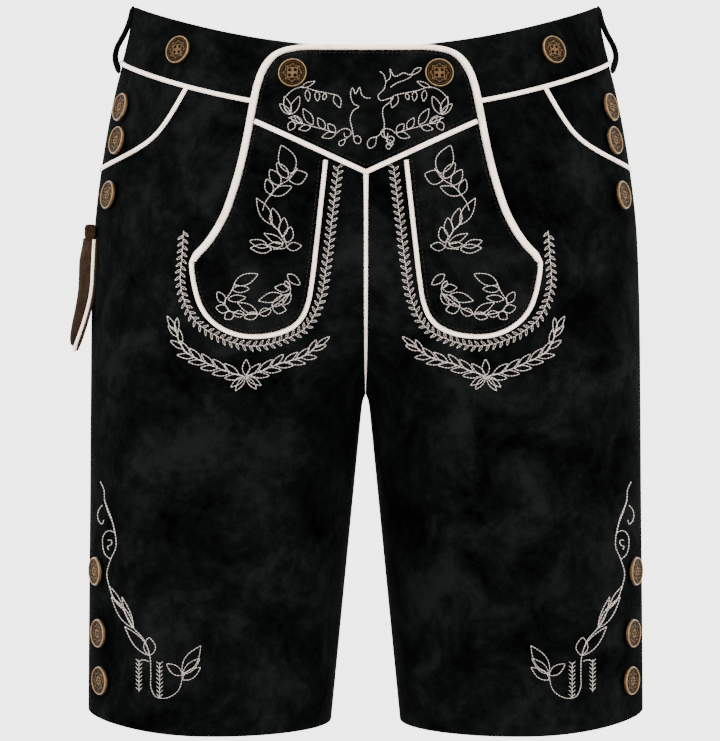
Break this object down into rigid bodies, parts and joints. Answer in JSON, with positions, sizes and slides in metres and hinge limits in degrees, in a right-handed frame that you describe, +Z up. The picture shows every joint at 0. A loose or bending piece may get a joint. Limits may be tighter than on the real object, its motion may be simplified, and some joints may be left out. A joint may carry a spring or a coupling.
{
  "type": "knee breeches",
  "caption": "Short black suede knee breeches of folk dress, with a bound drop front, cream piping, brass buttons, belt loops and a leather knife pocket.",
  "frame": {"origin": "middle of the waist, half way up the waistband at the sides, where the wearer's waist holds the breeches", "axes": "+Z up, the front faces -Y, and the wearer's left leg is on the +X side"},
  "size_m": [0.4065, 0.2625, 0.5111],
  "materials": {
    "black_suede": "black suede with a soft nap, matt",
    "cream_leather": "smooth cream leather binding and piping, satin",
    "brown_leather": "dark brown leather, dull",
    "aged_brass": "antique brass, dark in its hollows and rubbed bright on its rims"
  },
  "bodies": {
    "root": {"front_panel_right": "black_suede", "back_panel_right": "black_suede", "pocket_facing_right": "black_suede", "waistband_front_right": "black_suede", "flap_lobe_right": "black_suede", "belt_loop_right": "black_suede", "lobe_binding_right": "cream_leather", "waist_piping_right": "cream_leather", "pocket_piping_right": "cream_leather", "waist_button_right": "aged_brass", "flap_button_right": "aged_brass", "hip_button_upper_right": "aged_brass", "hip_button_middle_right": "aged_brass", "hip_button_lower_right": "aged_brass", "hem_button_upper_right": "aged_brass", "hem_button_middle_right": "aged_brass", "hem_button_lower_right": "aged_brass", "front_panel_left": "black_suede", "back_panel_left": "black_suede", "pocket_facing_left": "black_suede", "waistband_front_left": "black_suede", "flap_lobe_left": "black_suede", "belt_loop_left": "black_suede", "lobe_binding_left": "cream_leather", "waist_piping_left": "cream_leather", "pocket_piping_left": "cream_leather", "waist_button_left": "aged_brass", "flap_button_left": "aged_brass", "hip_button_upper_left": "aged_brass", "hip_button_middle_left": "aged_brass", "hip_button_lower_left": "aged_brass", "hem_button_upper_left": "aged_brass", "hem_button_middle_left": "aged_brass", "hem_button_lower_left": "aged_brass", "waistband_back": "black_suede", "flap_top": "black_suede", "waist_piping_back": "cream_leather", "flap_binding": "cream_leather", "vee_piping": "cream_leather", "centre_piping": "cream_leather", "knife_pocket_back": "brown_leather", "knife_pocket_front": "brown_leather", "knife_pocket_piping": "cream_leather", "knife_pocket_roll": "brown_leather"}
  },
  "joints": []
}
